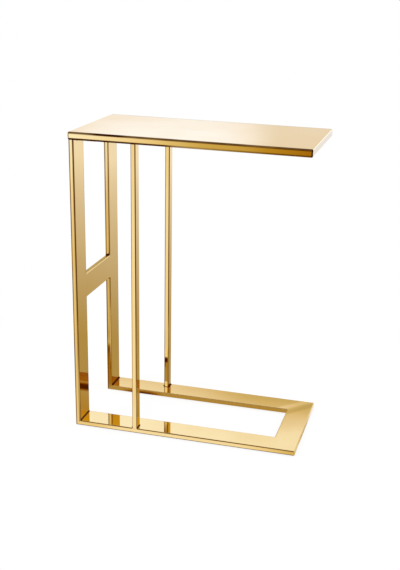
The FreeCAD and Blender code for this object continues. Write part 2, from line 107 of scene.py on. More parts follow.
class GoldTableFinish(bpy.types.PropertyGroup):
    """Colours and surface of the table's own pieces."""

    gold: bpy.props.FloatVectorProperty(
        name="Gold",
        description="Colour of the polished plating, seen straight on",
        subtype="COLOR",
        default=(0.91, 0.71, 0.33),
        min=0.0,
        max=1.0,
    )
    gold_deep: bpy.props.FloatVectorProperty(
        name="Deep gold",
        description="Plating where it is a little thicker",
        subtype="COLOR",
        default=(0.9, 0.69, 0.305),
        min=0.0,
        max=1.0,
    )
    # Painted reflection: a dark colour on the edges in place of the dark room that rounded edges mirror.
    painted_edge_reflection: bpy.props.FloatVectorProperty(
        name="Edge gold",
        description="Deeper colour of the plating that builds up along the long edges of a bar",
        subtype="COLOR",
        default=(0.34, 0.2, 0.06),
        min=0.0,
        max=1.0,
    )
    # Painted reflection: a deep brown on the top's long folds in place of the dark room that the folds
    # mirror.
    painted_fold_reflection: bpy.props.FloatVectorProperty(
        name="Fold gold",
        description="Plating along the long folds of the top, where the stretched sheet takes more of it",
        subtype="COLOR",
        default=(0.085, 0.024, 0.002),
        min=0.0,
        max=1.0,
    )
    # Reach of the painted edge reflection from an edge.
    edge_width: bpy.props.FloatProperty(
        name="Edge width",
        description="Reach of the built up plating from an edge",
        unit="LENGTH",
        default=0.0012,
    )
    # Reaches of the painted reflection from the top's long folds and from its upright corners.
    fold_width: bpy.props.FloatProperty(
        name="Fold width",
        description="Reach of the deeper plating from the long edges of the top",
        unit="LENGTH",
        default=0.0037,
    )
    corner_width: bpy.props.FloatProperty(
        name="Corner width",
        description="Reach of the deeper plating from the upright corners of the top",
        unit="LENGTH",
        default=0.0024,
    )
    # The weld beads are real, and their deep dark colour is also painted shade of the inside corners they
    # fill.
    weld: bpy.props.FloatVectorProperty(
        name="Weld",
        description="Plating over the weld beads, which the wheel can't reach",
        subtype="COLOR",
        default=(0.2, 0.04, 0.004),
        min=0.0,
        max=1.0,
    )
    # Reaches of the painted edge reflection from the long edges of each upright.
    near_edge_width: bpy.props.FloatProperty(
        name="Front upright edge width",
        description="Reach of the built up plating from the long edges of the front upright",
        unit="LENGTH",
        default=0.0029,
    )
    far_edge_width: bpy.props.FloatProperty(
        name="Back upright edge width",
        description="Reach of the built up plating from the long edges of the back upright",
        unit="LENGTH",
        default=0.0038,
    )
    weld_leg: bpy.props.FloatProperty(
        name="Weld leg",
        description="Height and width of the weld beads at the foot of the front upright and rod",
        unit="LENGTH",
        default=0.0024,
    )
    full_weld_leg: bpy.props.FloatProperty(
        name="Full weld leg",
        description="Height and width of the fuller weld beads at the back and on the crossbar",
        unit="LENGTH",
        default=0.0033,
    )
    seam_leg: bpy.props.FloatProperty(
        name="Seam leg",
        description="Height and width of the fine bead on the inner face of a rod's foot",
        unit="LENGTH",
        default=0.0012,
    )
    tab_weld_leg: bpy.props.FloatProperty(
        name="Tab weld leg",
        description="Height and width of the weld beads under the tabs",
        unit="LENGTH",
        default=0.0012,
    )
    mitre_dip: bpy.props.FloatProperty(
        name="Mitre dip",
        description="Depth of the hollow that grinding leaves along the back mitre of the base",
        unit="LENGTH",
        default=0.0001,
    )
    polish_low: bpy.props.FloatProperty(
        name="Best polish",
        description="Roughness where the polish is brightest",
        subtype="FACTOR",
        default=0.03,
    )
    polish_high: bpy.props.FloatProperty(
        name="Dullest polish",
        description="Roughness where the metal has been handled",
        subtype="FACTOR",
        default=0.065,
    )
    stroke_depth: bpy.props.FloatProperty(
        name="Polishing stroke depth",
        description="Height of the fine lines that the wheel leaves along each bar",
        unit="LENGTH",
        default=0.0000025,
    )
    wave_depth: bpy.props.FloatProperty(
        name="Hand polished wave",
        description="Height of the slow unevenness that bends reflections",
        unit="LENGTH",
        default=0.0003,
    )
    steel: bpy.props.FloatVectorProperty(
        name="Steel",
        description="Colour of the screws and inserts",
        subtype="COLOR",
        default=(0.58, 0.57, 0.55),
        min=0.0,
        max=1.0,
    )
    backing: bpy.props.FloatVectorProperty(
        name="Backing",
        description="Powder coat on the panel under the top",
        subtype="COLOR",
        default=(0.022, 0.021, 0.021),
        min=0.0,
        max=1.0,
    )
    board: bpy.props.FloatVectorProperty(
        name="Board",
        description="Fibre board inside the top",
        subtype="COLOR",
        default=(0.42, 0.28, 0.15),
        min=0.0,
        max=1.0,
    )
    rubber: bpy.props.FloatVectorProperty(
        name="Rubber",
        description="Floor pads",
        subtype="COLOR",
        default=(0.028, 0.028, 0.03),
        min=0.0,
        max=1.0,
    )


class GoldTableStudio(bpy.types.PropertyGroup):
    """The room that the polished metal mirrors, and the camera."""

    floor_radius: bpy.props.FloatProperty(
        name="Floor radius",
        description="Size of the round white floor",
        unit="LENGTH",
        default=7.0,
    )
    shadow: bpy.props.FloatProperty(
        name="Shadow",
        description="Share of real shading on the floor beside the table",
        subtype="FACTOR",
        default=0.12,
    )
    shadow_reach: bpy.props.FloatProperty(
        name="Shadow reach",
        description="Distance from the table at which the floor is plain white",
        unit="LENGTH",
        default=0.75,
    )
    room_light: bpy.props.FloatProperty(
        name="Room light",
        description="Even light on everything that isn't polished",
        default=0.9,
    )
    wall_level: bpy.props.FloatProperty(
        name="Wall level",
        description="Brightness of the walls between the softboxes",
        default=0.52,
    )
    ceiling_level: bpy.props.FloatProperty(
        name="Ceiling level",
        description="Brightness of the ceiling",
        default=0.66,
    )
    camera_place: bpy.props.FloatVectorProperty(
        name="Camera place",
        description="Where the camera stands",
        subtype="TRANSLATION",
        unit="LENGTH",
        default=(0.4969, -1.7830, 0.9286),
    )
    camera_turn: bpy.props.FloatProperty(
        name="Camera turn",
        description="Turn of the view to the left of straight back",
        subtype="ANGLE",
        default=0.2401,
    )
    camera_tilt: bpy.props.FloatProperty(
        name="Camera tilt",
        description="Tilt of the view below the horizon",
        subtype="ANGLE",
        default=0.3290,
    )
    camera_roll: bpy.props.FloatProperty(
        name="Camera roll",
        description="Turn of the picture about the line of sight",
        subtype="ANGLE",
        default=0.0280,
    )
    camera_lens: bpy.props.FloatProperty(
        name="Camera lens",
        description="Focal length in millimetres on a 36 mm sensor",
        default=60.85,
    )
    camera_shift: bpy.props.FloatProperty(
        name="Camera shift",
        description="Sideways shift of the picture, as a share of its long side",
        subtype="FACTOR",
        min=-1.0,
        max=1.0,
        default=-0.0526,
    )


def add_node(tree, kind, values, **settings):
    """A new node with its settings made, and each input set to a number or linked to a socket."""
    made = tree.nodes.new(kind)
    for key, value in settings.items():
        setattr(made, key, value)
    for key, value in values.items():
        if isinstance(value, bpy.types.NodeSocket):
            tree.links.new(value, made.inputs[key])
        else:
            made.inputs[key].default_value = value
    return made


def axes_of(tree, vector):
    """The X, Y and Z of a vector."""
    return tuple(add_node(tree, "ShaderNodeSeparateXYZ", {0: vector}).outputs)


def calculate(tree, operation, first, second=0.0, clamp=False):
    """The result of a sum on two values."""
    made = add_node(
        tree, "ShaderNodeMath", {0: first, 1: second}, operation=operation, use_clamp=clamp
    )
    return made.outputs[0]


def product(tree, first, *others):
    """Several values multiplied together."""
    for other in others:
        first = calculate(tree, "MULTIPLY", first, other)
    return first


def rest_of(tree, share):
    """What a share leaves of one."""
    return calculate(tree, "SUBTRACT", 1.0, share)


def remap(tree, value, old, new=(0.0, 1.0), smooth=True):
    """A value moved from one range to another, held at the ends."""
    made = add_node(
        tree,
        "ShaderNodeMapRange",
        {"Value": value, "From Min": old[0], "From Max": old[1], "To Min": new[0], "To Max": new[1]},
        interpolation_type="SMOOTHSTEP" if smooth else "LINEAR",
    )
    return made.outputs["Result"]


def band(tree, value, low, high, blur):
    """One between two values and nothing outside them, with soft ends."""
    rise = remap(tree, value, (low - blur, low + blur))
    fall = remap(tree, value, (high - blur, high + blur), (1.0, 0.0))
    return product(tree, rise, fall)


def fade(tree, mask, level):
    """One outside a mask and a lower level inside it."""
    return remap(tree, mask, (0.0, 1.0), (1.0, level))


def choose(tree, share, first, second):
    """A value between two, by a share."""
    made = add_node(tree, "ShaderNodeMix", {0: share, 2: first, 3: second}, data_type="FLOAT")
    return made.outputs[0]


def mix_colour(tree, share, first, second):
    """Two colours mixed by a share."""
    made = add_node(tree, "ShaderNodeMix", {0: share, 6: first, 7: second}, data_type="RGBA")
    return made.outputs[2]


def mix_shaders(tree, share, first, second):
    """Two shaders mixed by a share."""
    return add_node(
        tree, "ShaderNodeMixShader", {0: share, 1: first.outputs[0], 2: second.outputs[0]}
    )


def opaque(colour):
    """A colour with full alpha, as the nodes take it."""
    return (*colour, 1.0)


def two_tone(tree, pattern, spread, colour, share):
    """A colour that a pattern turns into a share of itself, over the spread of the pattern."""
    return mix_colour(
        tree, remap(tree, pattern, spread), opaque(colour), opaque(part * share for part in colour)
    )


def empty_tree(owner):
    """The node tree of a material or a world, with nothing in it."""
    owner.use_nodes = True
    owner.node_tree.nodes.clear()
    return owner.node_tree


def start_material(name):
    """A node material with its shader, and the object coordinates that its patterns use."""
    material = bpy.data.materials.new(name)
    tree = empty_tree(material)
    shader = tree.nodes.new("ShaderNodeBsdfPrincipled")
    output = tree.nodes.new("ShaderNodeOutputMaterial")
    tree.links.new(shader.outputs["BSDF"], output.inputs["Surface"])
    place = tree.nodes.new("ShaderNodeTexCoord").outputs["Object"]
    return material, tree, shader, place


def set_surface(tree, shader, colour, rough, normal, metallic=0.0):
    """Links a shader to its colour, roughness and bumps, and says how metallic it is."""
    for name, socket in (("Base Color", colour), ("Roughness", rough), ("Normal", normal)):
        tree.links.new(socket, shader.inputs[name])
    shader.inputs["Metallic"].default_value = metallic


def noise(tree, place, scale, detail, stretch=None):
    """Noise of a given fineness per metre, stretched along an axis where one is given."""
    if stretch is not None:
        axis, share = stretch
        size = [1.0, 1.0, 1.0]
        size[axis] = share
        mapping = add_node(tree, "ShaderNodeMapping", {"Vector": place, "Scale": size})
        place = mapping.outputs["Vector"]
    made = add_node(
        tree, "ShaderNodeTexNoise", {"Vector": place, "Scale": scale, "Detail": detail}
    )
    return made.outputs["Fac"]


def raise_surface(tree, height, depth, normal=None):
    """A bump of a real depth, on top of an earlier one where given."""
    values = {"Height": height, "Distance": depth, "Strength": 1.0}
    if normal is not None:
        values["Normal"] = normal
    return add_node(tree, "ShaderNodeBump", values).outputs["Normal"]


def at_edges(tree, reach, along):
    """One on the rounded edges that run along an axis and within a reach of them, nothing on the flats."""
    bevel = add_node(tree, "ShaderNodeBevel", {"Radius": reach}, samples=EDGE_SAMPLES)
    sizes = [calculate(tree, "ABSOLUTE", part) for part in axes_of(tree, bevel.outputs["Normal"])]
    end_on = sizes.pop(along)
    rounded = remap(tree, calculate(tree, "MAXIMUM", *sizes), EDGE_LEAN)
    return product(tree, rounded, remap(tree, end_on, EDGE_END_ON))


def at_crossbar(tree, place, reach):
    """One within a reach of the crossbar's ends, where the joint is ground flush."""
    low, high = map(Vector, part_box("crossbar"))
    _, side, height = axes_of(tree, place)
    end = high.y + reach
    beside = remap(tree, calculate(tree, "ABSOLUTE", side), (end + 2 * EDGE_BLUR, end))
    return product(tree, beside, band(tree, height, low.z, high.z, EDGE_BLUR))


def at_long_edges(tree, place, node, along, reach):
    """One within a reach of the edges of a piece's box that run along an axis, and nothing elsewhere."""
    low, high = map(Vector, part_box(node))
    middle, half = (low + high) / 2, (high - low) / 2
    masks = []
    for axis, part in enumerate(axes_of(tree, place)):
        if axis != along:
            off_middle = calculate(tree, "SUBTRACT", part, middle[axis])
            edge = half[axis] - reach
            masks.append(
                remap(tree, calculate(tree, "ABSOLUTE", off_middle), (edge - EDGE_BLUR, edge + EDGE_BLUR))
            )
    return product(tree, *masks)


def at_upright_edges(tree, place, node, reach, right_share):
    """Share of the painted dark edge reflection on an upright: less at its right, none where the crossbar
    joins it.
    """
    low, high = map(Vector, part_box(node))
    share = remap(tree, axes_of(tree, place)[X_AXIS], (low.x, high.x), (1.0, right_share))
    off_joint = rest_of(tree, at_crossbar(tree, place, reach))
    return product(tree, share, off_joint, at_long_edges(tree, place, node, Z_AXIS, reach))


def at_top_folds(tree, place):
    """Share of the painted dark reflection on the top's long folds and on its upright corners."""
    finish = bpy.context.scene.gold_table_finish
    low, high = map(Vector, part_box("top_pan"))
    middle = (low.z + high.z) / 2
    across, _, height = axes_of(tree, place)
    stretch = band(tree, across, *UPPER_FOLD_STRETCH, FOLD_CHANGE_BLUR)
    upper = remap(tree, stretch, (0.0, 1.0), UPPER_FOLD_SHARES)
    lower = remap(tree, across, LOWER_FOLD_CHANGE, LOWER_FOLD_SHARES)
    is_upper = remap(tree, height, (middle - EDGE_BLUR, middle + EDGE_BLUR))
    share = choose(tree, is_upper, lower, upper)
    folds = at_long_edges(tree, place, "top_pan", X_AXIS, finish.fold_width)
    corners = at_long_edges(tree, place, "top_pan", Z_AXIS, finish.corner_width)
    return calculate(tree, "MAXIMUM", product(tree, folds, share), corners)


def mitre_hollow(tree, place):
    """Height of the slight hollow along the mitre between the back rail and the end rail."""
    low, high = map(Vector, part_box("end_rail"))
    across, back, _ = axes_of(tree, place)
    along = calculate(tree, "SUBTRACT", across, low.x)
    side = calculate(tree, "SUBTRACT", back, high.y - (high.x - low.x))
    off_line = calculate(tree, "ABSOLUTE", calculate(tree, "SUBTRACT", along, side))
    return remap(tree, off_line, (0.0, MITRE_HOLLOW_WIDTH))


def polished_gold(name, along, painted_edge_colour=None, deeper=None, mitred=False):
    """Mirror polished gold plating whose fine strokes and painted edge reflections run along one axis.

    The painted reflection is a dark edge colour in place of the dark room that rounded edges mirror. Its
    edges are found from the shape, or by a function of the piece's own where one is given.
    """
    finish = bpy.context.scene.gold_table_finish
    painted_edge_colour = opaque(painted_edge_colour or finish.painted_edge_reflection)
    material, tree, shader, place = start_material(name)
    strokes = noise(tree, place, scale=700.0, detail=3.0, stretch=(along, 0.012))
    waves = noise(tree, place, scale=7.0, detail=1.0)
    clouds = noise(tree, place, scale=11.0, detail=4.0)
    smears = noise(tree, place, scale=60.0, detail=3.0, stretch=(along, 0.25))

    # Painted reflection: the edges take a dark colour and a dark glancing tint, streaked by the smears.
    edge = deeper(tree, place) if deeper else at_edges(tree, finish.edge_width, along)
    streaked = remap(tree, smears, old=(0.3, 0.7), new=(0.75, 1.0))
    painted_edge_share = calculate(tree, "MULTIPLY", edge, streaked, clamp=True)
    depth = remap(tree, clouds, old=(0.35, 0.65))
    plating = mix_colour(tree, depth, opaque(finish.gold), opaque(finish.gold_deep))
    colour = mix_colour(tree, painted_edge_share, plating, painted_edge_colour)
    glancing = mix_colour(tree, painted_edge_share, WHITE, painted_edge_colour)
    tree.links.new(glancing, shader.inputs["Specular Tint"])

    handled = remap(tree, clouds, old=(0.4, 0.72), new=(finish.polish_low, finish.polish_high))
    streaks = remap(tree, smears, old=(0.45, 0.75), new=(0.0, 0.02))
    lines = remap(tree, strokes, old=(0.3, 0.7), new=(-0.01, 0.015))
    rough = calculate(tree, "ADD", handled, calculate(tree, "ADD", streaks, lines))

    normal = raise_surface(tree, waves, finish.wave_depth)
    if mitred:
        normal = raise_surface(tree, mitre_hollow(tree, place), finish.mitre_dip, normal)
    normal = raise_surface(tree, strokes, finish.stroke_depth, normal)
    set_surface(tree, shader, colour, rough, normal, metallic=1.0)
    return material


def crease_shaded_weld(name):
    """Weld bead under the plating, too tight for the wheel: rougher and spotted, and dark with painted crease
    shade.
    """
    finish = bpy.context.scene.gold_table_finish
    material, tree, shader, place = start_material(name)
    spots = noise(tree, place, scale=900.0, detail=4.0)
    grit = noise(tree, place, scale=3500.0, detail=2.0)
    colour = two_tone(tree, spots, spread=(0.35, 0.7), colour=finish.weld, share=0.55)
    rough = remap(tree, spots, old=(0.3, 0.7), new=(0.2, 0.38))
    set_surface(tree, shader, colour, rough, raise_surface(tree, grit, depth=0.00003), metallic=1.0)
    return material


def plain_steel(name):
    """Zinc plated steel of the screws and inserts, turned and a little dulled."""
    finish = bpy.context.scene.gold_table_finish
    material, tree, shader, place = start_material(name)
    turned = noise(tree, place, scale=2600.0, detail=3.0, stretch=(Z_AXIS, 3.0))
    dull = noise(tree, place, scale=300.0, detail=3.0)
    colour = two_tone(tree, dull, spread=(0.35, 0.7), colour=finish.steel, share=0.72)
    rough = remap(tree, turned, old=(0.25, 0.75), new=(0.2, 0.38))
    set_surface(tree, shader, colour, rough, raise_surface(tree, turned, depth=0.000008), metallic=1.0)
    return material


def powder_coat(name):
    """Matt black powder coat with its fine orange peel."""
    finish = bpy.context.scene.gold_table_finish
    material, tree, shader, place = start_material(name)
    peel = noise(tree, place, scale=900.0, detail=2.0)
    dust = noise(tree, place, scale=14.0, detail=5.0)
    colour = two_tone(tree, dust, spread=(0.4, 0.8), colour=finish.backing, share=1.8)
    rough = remap(tree, dust, old=(0.3, 0.7), new=(0.48, 0.66))
    set_surface(tree, shader, colour, rough, raise_surface(tree, peel, depth=0.00004))
    return material


def fibre_board(name):
    """Sanded fibre board, speckled with darker fibres."""
    finish = bpy.context.scene.gold_table_finish
    material, tree, shader, place = start_material(name)
    fibres = noise(tree, place, scale=420.0, detail=5.0, stretch=(X_AXIS, 0.45))
    colour = two_tone(tree, fibres, spread=(0.4, 0.7), colour=finish.board, share=0.6)
    rough = remap(tree, fibres, old=(0.2, 0.8), new=(0.78, 0.95))
    set_surface(tree, shader, colour, rough, raise_surface(tree, fibres, depth=0.00006))
    return material


def pad_rubber(name):
    """Moulded black rubber with a fine matt grain and some floor dust."""
    finish = bpy.context.scene.gold_table_finish
    material, tree, shader, place = start_material(name)
    grain = noise(tree, place, scale=1800.0, detail=2.0)
    dust = noise(tree, place, scale=160.0, detail=4.0)
    colour = two_tone(tree, dust, spread=(0.45, 0.8), colour=finish.rubber, share=2.2)
    rough = remap(tree, grain, old=(0.3, 0.7), new=(0.68, 0.88))
    set_surface(tree, shader, colour, rough, raise_surface(tree, grain, depth=0.00003))
    return material


def finish_nodes(names, material):
    """Gives a material to CAD nodes."""
    for name in names:
        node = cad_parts[name]
        node.data.materials.clear()
        node.data.materials.append(material)


class GOLDTABLE_OT_top(bpy.types.Operator):
    """Polish the folded sheet of the top along its length"""

    bl_idname = "gold_table.top"
    bl_label = "Polish Top"

    def execute(self, context):
        # The top's folds and upright corners take the painted fold reflection.
        fold_colour = context.scene.gold_table_finish.painted_fold_reflection
        gold = polished_gold("polished_gold_top", X_AXIS, fold_colour, at_top_folds)
        finish_nodes(("top_pan",), gold)
        return {"FINISHED"}


class GOLDTABLE_OT_back_frame(bpy.types.Operator):
    """Polish the two uprights along their height and the crossbar along its own length"""

    bl_idname = "gold_table.back_frame"
    bl_label = "Polish Back Frame"

    def execute(self, context):
        finish = context.scene.gold_table_finish
        # The uprights take the painted edge reflection, the crossbar none.
        for name, width, right_share in (
            ("front_upright", finish.near_edge_width, NEAR_RIGHT_SHARE),
            ("back_upright", finish.far_edge_width, FAR_RIGHT_SHARE),
        ):
            edges = partial(at_upright_edges, node=name, reach=width, right_share=right_share)
            gold = polished_gold(f"polished_gold_{name}", Z_AXIS, finish.painted_edge_reflection, edges)
            finish_nodes((name,), gold)
        even = polished_gold("polished_gold_crossbar", Y_AXIS, finish.gold)
        finish_nodes(("crossbar",), even)
        return {"FINISHED"}


class GOLDTABLE_OT_base(bpy.types.Operator):
    """Polish the three flat rails of the base, each along its own length"""

    bl_idname = "gold_table.base"
    bl_label = "Polish Base"

    def execute(self, context):
        even = context.scene.gold_table_finish.gold
        # The front rail takes the painted edge reflection; the back and end rails are even gold.
        front_gold = polished_gold("polished_gold_front_rail", X_AXIS)
        back_gold = polished_gold("polished_gold_back_rail", X_AXIS, even, mitred=True)
        end_gold = polished_gold("polished_gold_end_rail", Y_AXIS, even, mitred=True)
        for name, gold in (("front_rail", front_gold), ("back_rail", back_gold), ("end_rail", end_gold)):
            finish_nodes((name,), gold)
        return {"FINISHED"}


class GOLDTABLE_OT_rods(bpy.types.Operator):
    """Polish the two slim rods along their height"""

    bl_idname = "gold_table.rods"
    bl_label = "Polish Rods"

    def execute(self, context):
        # The rods take the painted edge reflection.
        finish_nodes(RODS, polished_gold("polished_gold_rods", Z_AXIS))
        return {"FINISHED"}


class GOLDTABLE_OT_fixings(bpy.types.Operator):
    """Finish the tabs, end caps, screws and inserts that hold the top on"""

    bl_idname = "gold_table.fixings"
    bl_label = "Finish Fixings"

    def execute(self, context):
        # The tabs and caps take the painted edge reflection.
        finish_nodes(TABS + CAPS, polished_gold("polished_gold_fixings", X_AXIS))
        finish_nodes(("top_screws",), plain_steel("screw_steel"))
        finish_nodes(("threaded_inserts",), plain_steel("insert_steel"))
        return {"FINISHED"}


class GOLDTABLE_OT_underside(bpy.types.Operator):
    """Finish the board inside the top and the panel that closes it from below"""

    bl_idname = "gold_table.underside"
    bl_label = "Finish Underside"

    def execute(self, context):
        finish_nodes(("top_core",), fibre_board("fibre_board"))
        finish_nodes(("underside_panel",), powder_coat("black_powder_coat"))
        return {"FINISHED"}


def start_piece(name, added):
    """Names a new primitive, puts its place into its mesh and opens it for shaping."""
    piece = bpy.context.object
    if piece is None or "FINISHED" not in added:
        raise RuntimeError(f"{name} could not be started")
    piece.name = piece.data.name = name
    bpy.ops.object.transform_apply(location=True, rotation=True, scale=True)
    bpy.ops.object.mode_set(mode="EDIT")
    return piece


def pick(piece, kind, wanted):
    """Selects the vertices, edges or faces of a piece that a test wants, and only those."""
    bpy.ops.mesh.select_mode(type=kind)
    bpy.ops.mesh.select_all(action="DESELECT")
    shape = bmesh.from_edit_mesh(piece.data)
    for part in {"VERT": shape.verts, "EDGE": shape.edges, "FACE": shape.faces}[kind]:
        if wanted(part):
            part.select_set(True)
    shape.select_flush_mode()
    bmesh.update_edit_mesh(piece.data)


def select_only(*pieces):
    """Selects some pieces and nothing else, with the first of them active."""
    bpy.ops.object.select_all(action="DESELECT")
    for piece in pieces:
        piece.select_set(True)
    bpy.context.view_layer.objects.active = pieces[0]


def dress_piece(piece, material):
    """Gives a piece its material, and fixes it to the table."""
    piece.data.materials.clear()
    piece.data.materials.append(material)
    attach(piece, BODY)


def finish_piece(piece, material):
    """Smooths a shaped piece, gives it its material and fixes it to the table."""
    select_only(piece)
    bpy.ops.object.shade_smooth_by_angle(angle=SMOOTH_ANGLE)
    dress_piece(piece, material)


def copy_piece(piece, name, offset):
    """A copy of a piece with its own mesh, moved by an offset that is put into the mesh."""
    select_only(piece)
    bpy.ops.object.duplicate(linked=False)
    copy = bpy.context.object
    copy.name = copy.data.name = name
    bpy.ops.transform.translate(value=offset)
    bpy.ops.object.transform_apply(location=True, rotation=False, scale=False)
    return copy


def weld_bead(name, start, end, out, up, leg):
    """A rippled wedge along an inside corner, with one leg out and one leg up from it."""
    start, end, out, up = Vector(start), Vector(end), Vector(out), Vector(up)
    length = (end - start).length
    run = (end - start).normalized()
    block = leg * WELD_BLOCK
    size = (end - start) + (out + up) * (block + WELD_ROOT)
    middle = (start + end) / 2 + (out + up) * (block - WELD_ROOT) / 2
    bpy.ops.object.select_all(action="DESELECT")
    added = bpy.ops.mesh.primitive_cube_add(
        size=1.0, location=middle, scale=[abs(part) for part in size]
    )
    bead = start_piece(name, added)
    bpy.ops.mesh.select_all(action="SELECT")
    bpy.ops.mesh.bisect(
        plane_co=start + out * leg, plane_no=out + up, use_fill=True, clear_outer=True
    )
    pick(
        bead,
        "EDGE",
        lambda edge: abs((edge.verts[1].co - edge.verts[0].co).normalized().dot(run)) > PARALLEL,
    )
    ripples = max(WELD_FEWEST_RIPPLES, round(length / WELD_RIPPLE))
    bpy.ops.mesh.subdivide(number_cuts=2 * ripples - 1)
    step = length / (2 * ripples)
    pick(bead, "VERT", lambda vertex: round((vertex.co - start).dot(run) / step) % 2 == 0)
    shrink = [1.0 if abs(part) > PARALLEL else WELD_HOLLOW for part in run]
    bpy.ops.transform.resize(value=shrink, center_override=start)
    bpy.ops.object.mode_set(mode="OBJECT")
    return bead


def join_beads(beads):
    """Several beads as one piece, which keeps the first one's name."""
    select_only(*beads)
    bpy.ops.object.join()
    return bpy.context.object


def weld_upright_foot(side, leg):
    """A bead along the inner face of an upright's foot, on top of its rail."""
    low, high = map(Vector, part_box(f"{side}_upright"))
    rail_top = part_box(f"{side}_rail")[1][2]
    ends = (high.x, low.y + leg, rail_top), (high.x, high.y - leg, rail_top)
    return weld_bead(f"{side}_upright_weld", *ends, RIGHT, UP, leg)


def weld_rod_foot(side, inward, leg, seam):
    """A bead on each side of a rod's foot and a fine one on its inner face, as one piece."""
    name = f"{side}_rod_weld"
    low, high = map(Vector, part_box(f"{side}_rod"))
    beads = []
    for way, x in ((1.0, high.x), (-1.0, low.x)):
        ends = (x, low.y + leg, low.z), (x, high.y - leg, low.z)
        beads.append(weld_bead(name, *ends, (way, 0.0, 0.0), UP, leg))
    inner = high.y if inward > 0.0 else low.y
    ends = (low.x + seam, inner, low.z), (high.x - seam, inner, low.z)
    beads.append(weld_bead(name, *ends, (0.0, inward, 0.0), UP, seam))
    return join_beads(beads)


def weld_crossbar_end(side, inward, leg):
    """A bead above and one below an end of the crossbar, as one piece."""
    low, high = map(Vector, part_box("crossbar"))
    y = low.y if inward > 0.0 else high.y
    beads = []
    for z, way in ((high.z, UP), (low.z, DOWN)):
        ends = (low.x + leg / 2, y, z), (high.x - leg / 2, y, z)
        beads.append(weld_bead(f"{side}_crossbar_weld", *ends, (0.0, inward, 0.0), way, leg))
    return join_beads(beads)


def weld_rod_tab(side, inward, leg):
    """A bead under a rod's tab, along the inner face of the rod."""
    low, high = map(Vector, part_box(f"{side}_rod"))
    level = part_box(f"{side}_rod_tab")[0][2]
    inner = high.y if inward > 0.0 else low.y
    ends = (low.x + leg, inner, level), (high.x - leg, inner, level)
    return weld_bead(f"{side}_rod_tab_weld", *ends, (0.0, inward, 0.0), DOWN, leg)


class GOLDTABLE_OT_welds(bpy.types.Operator):
    """Lay the weld beads at the feet of the uprights and rods, at the crossbar and under the tabs"""

    bl_idname = "gold_table.welds"
    bl_label = "Lay Welds"

    def execute(self, context):
        finish = context.scene.gold_table_finish
        tab_leg = finish.tab_weld_leg
        # The beads carry painted shade of the inside corners in their dark colour.
        material = crease_shaded_weld("crease_shaded_weld")
        for side, inward, leg in (("front", 1.0, finish.weld_leg), ("back", -1.0, finish.full_weld_leg)):
            for bead in (
                weld_upright_foot(side, leg),
                weld_rod_foot(side, inward, leg, finish.seam_leg),
                weld_crossbar_end(side, inward, finish.full_weld_leg),
            ):
                finish_piece(bead, material)

        low, high = map(Vector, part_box("front_upright_tab"))
        ends = (low.x, low.y + tab_leg, low.z), (low.x, high.y - tab_leg, low.z)
        tab = weld_bead("front_upright_tab_weld", *ends, RIGHT, DOWN, tab_leg)
        finish_piece(tab, material)
        to_back = Vector(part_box("back_upright_tab")[0]) - low
        dress_piece(copy_piece(tab, "back_upright_tab_weld", to_back), material)
        for side, inward in (("front", 1.0), ("back", -1.0)):
            finish_piece(weld_rod_tab(side, inward, tab_leg), material)
        return {"FINISHED"}


def mould_pad(name, low, high):
    """A rubber disc with a bevelled rim, and a ring and a dimple moulded into its sole."""
    radius = (high.x - low.x) / 2
    thick = high.z - low.z
    bpy.ops.object.select_all(action="DESELECT")
    added = bpy.ops.mesh.primitive_cylinder_add(
        vertices=PAD_SIDES, radius=radius, depth=thick, location=(low + high) / 2
    )
    pad = start_piece(name, added)
    pick(pad, "EDGE", lambda edge: abs(edge.verts[0].co.z - edge.verts[1].co.z) < thick / 10)
    bpy.ops.mesh.bevel(offset=thick * PAD_BEVEL, segments=PAD_BEVEL_STEPS, affect="EDGES")
    pick(pad, "FACE", lambda face: face.normal.z < -PARALLEL)
    for inset, lift in PAD_SOLE:
        bpy.ops.mesh.inset(thickness=radius * inset, depth=0.0)
        bpy.ops.mesh.extrude_region_move(TRANSFORM_OT_translate={"value": (0.0, 0.0, thick * lift)})
    bpy.ops.object.mode_set(mode="OBJECT")
    return pad


class GOLDTABLE_OT_pads(bpy.types.Operator):
    """Mould the rubber floor pads under the rails"""

    bl_idname = "gold_table.pads"
    bl_label = "Mould Floor Pads"

    def execute(self, context):
        material = pad_rubber("pad_rubber")
        low, high = map(Vector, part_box(PADS[0]))
        first = mould_pad(f"{PADS[0]}_moulded", low, high)
        finish_piece(first, material)
        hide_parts(PADS[0])
        for name in PADS[1:]:
            copy = copy_piece(first, f"{name}_moulded", Vector(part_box(name)[0]) - low)
            dress_piece(copy, material)
            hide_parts(name)
        return {"FINISHED"}


# Colours at a level of light, from unlit brown through cream to a cool white: the walls, the floor behind the
# table, the floor in front of it, and the warm corner of the room at the back right.
WALL_TONES = (
    (0.0, (0.02, 0.003, 0.0)),
    (0.12, (0.11, 0.02, 0.001)),
    (0.33, (0.33, 0.13, 0.01)),
    (0.5, (0.5, 0.43, 0.26)),
    (0.69, (0.69, 0.57, 0.32)),
    (0.79, (0.79, 0.67, 0.49)),
    (0.88, (0.88, 0.81, 0.75)),
    (1.0, (1.0, 0.98, 1.05)),
    (1.25, (1.12, 1.24, 1.6)),
)
BACK_TONES = (
    (0.0, (0.02, 0.003, 0.0)),
    (0.12, (0.11, 0.02, 0.001)),
    (0.33, (0.33, 0.14, 0.01)),
    (0.47, (0.47, 0.35, 0.14)),
    (0.65, (0.65, 0.57, 0.48)),
    (0.85, (0.84, 0.8, 0.83)),
    (1.0, (1.0, 0.99, 1.1)),
    (1.25, (1.12, 1.24, 1.6)),
)
